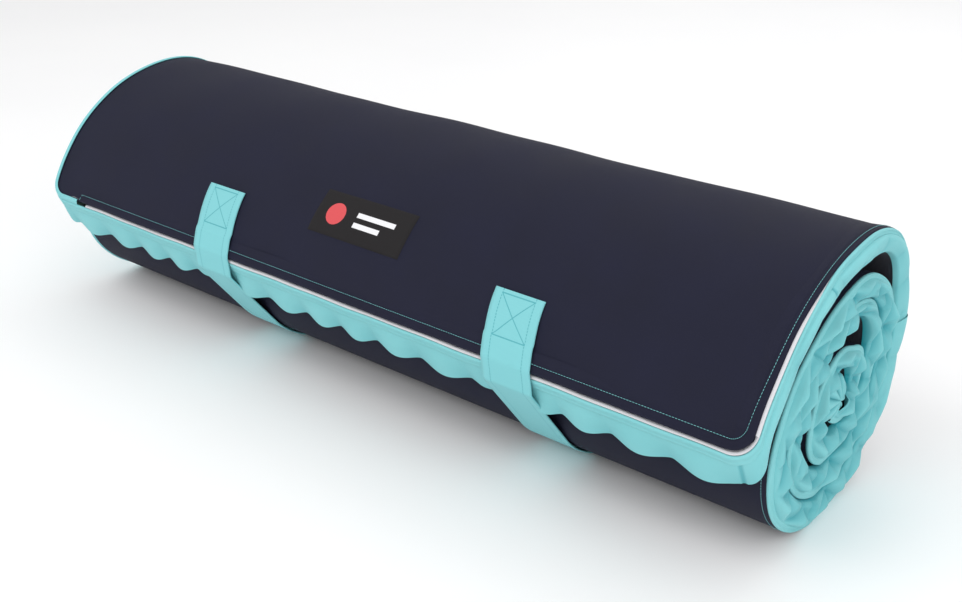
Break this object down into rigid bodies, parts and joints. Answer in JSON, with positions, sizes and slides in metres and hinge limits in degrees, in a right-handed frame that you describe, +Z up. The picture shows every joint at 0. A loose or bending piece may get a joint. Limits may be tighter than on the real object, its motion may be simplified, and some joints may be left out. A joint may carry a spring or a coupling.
{
  "type": "rolled pressure relief mattress",
  "caption": "Single-bed foam mattress pad rolled up on its side, with a lifting outer flap, two hook-and-loop straps, mint boxing and a zipped navy cover.",
  "frame": {"origin": "middle of the footprint, on the surface that the roll rests on", "axes": "+X along the roll towards the zipped side, -Y towards the flap's free edge and the straps, +Z up"},
  "size_m": [0.97, 0.3076, 0.2693],
  "materials": {
    "navy_twill": "fine twill weave, matt",
    "navy_mesh": "warp-knitted mesh",
    "mint_cloth": "smooth plain weave",
    "mint_strap": "double-layer cloth strap, topstitched",
    "foam": "open-cell foam",
    "zip_tape": "woven zip tape",
    "zip_coil": "nylon coil",
    "zip_metal": "satin lacquered die casting",
    "label": "dense woven label",
    "hook_loop": "hook-and-loop tape"
  },
  "bodies": {
    "roll": {"back_panel_roll": "navy_twill", "foam_base_roll": "foam", "foam_profile_roll": "foam", "sleep_panel_roll": "navy_mesh", "boxing_left_roll": "mint_cloth", "boxing_right_roll": "mint_cloth", "boxing_inner_end": "mint_cloth", "piping_left_roll": "mint_cloth", "border_right_roll": "mint_cloth", "loop_pad_left": "hook_loop", "loop_pad_right": "hook_loop"},
    "flap": {"back_panel_flap": "navy_twill", "foam_base_flap": "foam", "foam_profile_flap": "foam", "sleep_panel_flap": "navy_mesh", "boxing_left_flap": "mint_cloth", "boxing_right_flap": "mint_cloth", "boxing_outer_end": "mint_cloth", "piping_left_flap": "mint_cloth", "border_right_flap": "mint_cloth", "zip_tape": "zip_tape", "zip_tape_side": "zip_tape", "zip_coil": "zip_coil", "zip_stops": "zip_metal", "zip_placket": "navy_twill", "label": "label", "strap_left_anchor": "mint_strap", "strap_right_anchor": "mint_strap"},
    "strap_left": {"strap_left_tail": "mint_strap", "hook_pad_left": "hook_loop"},
    "strap_right": {"strap_right_tail": "mint_strap", "hook_pad_right": "hook_loop"},
    "zip_slider": {"zip_slider": "zip_metal"},
    "zip_pull": {"zip_pull": "zip_metal"}
  },
  "joints": [
    {"name": "flap_lift", "type": "hinge", "parent": "roll", "child": "flap", "pos_m": [0, 0.04253, 0.26929], "axis": [-1, 0, 0], "range_deg": [0, 60]},
    {"name": "strap_left_peel", "type": "hinge", "parent": "flap", "child": "strap_left", "pos_m": [-0.186, -0.1532, 0.14036], "axis": [-1, 0, 0], "range_deg": [0, 110]},
    {"name": "strap_right_peel", "type": "hinge", "parent": "flap", "child": "strap_right", "pos_m": [0.23, -0.1532, 0.14036], "axis": [-1, 0, 0], "range_deg": [0, 110]},
    {"name": "zip_slide", "type": "slide", "parent": "flap", "child": "zip_slider", "axis": [1, 0, 0], "range_m": [0, 0.858]},
    {"name": "pull_swivel", "type": "hinge", "parent": "zip_slider", "child": "zip_pull", "pos_m": [-0.4246, -0.14808, 0.14469], "axis": [0, -0.8969, 0.4423], "range_deg": [0, 90]}
  ]
}
